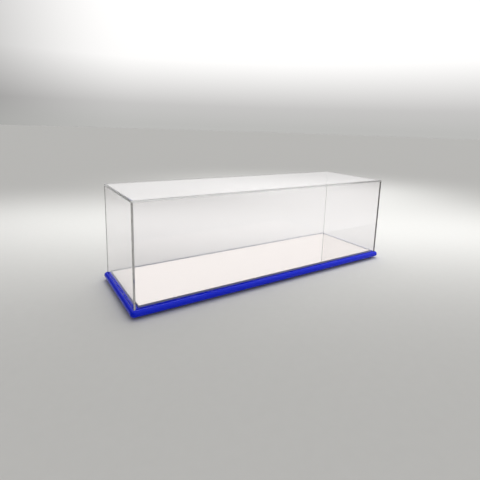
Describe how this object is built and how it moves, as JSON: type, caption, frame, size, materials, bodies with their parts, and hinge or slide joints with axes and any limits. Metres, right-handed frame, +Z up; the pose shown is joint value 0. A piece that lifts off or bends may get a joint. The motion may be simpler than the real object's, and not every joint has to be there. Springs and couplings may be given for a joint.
{
  "type": "display case",
  "caption": "Long clear acrylic display case: a lift-off five-sided cover standing in a groove round a painted bullnose base with a mirror floor.",
  "frame": {"origin": "under the middle of the case, on the surface that the feet stand on", "axes": "+X along the case's length to the right, the front faces -Y, +Z up"},
  "size_m": [0.5106, 0.1606, 0.1635],
  "materials": {
    "clear_acrylic": "polished",
    "mirror_acrylic": "polished",
    "blue_lacquered_wood": "gloss",
    "tape": "matte",
    "foot_rubber": "matte",
    "pin_steel": "satin"
  },
  "bodies": {
    "base": {"side_lipping_pins": "pin_steel", "end_lipping_pins": "pin_steel", "base_board": "blue_lacquered_wood", "front_lipping": "blue_lacquered_wood", "back_lipping": "blue_lacquered_wood", "left_lipping": "blue_lacquered_wood", "right_lipping": "blue_lacquered_wood", "mirror_panel": "mirror_acrylic", "front_mirror_tape": "tape", "back_mirror_tape": "tape", "left_mirror_tape": "tape", "right_mirror_tape": "tape", "front_left_foot": "foot_rubber", "back_left_foot": "foot_rubber", "front_right_foot": "foot_rubber", "back_right_foot": "foot_rubber"},
    "cover": {"top_panel": "clear_acrylic", "front_panel": "clear_acrylic", "back_panel": "clear_acrylic", "left_end_panel": "clear_acrylic", "right_end_panel": "clear_acrylic"}
  },
  "joints": [
    {"name": "cover_lift", "type": "slide", "parent": "base", "child": "cover", "axis": [0, 0, 1], "range_m": [0, 0.2]}
  ]
}
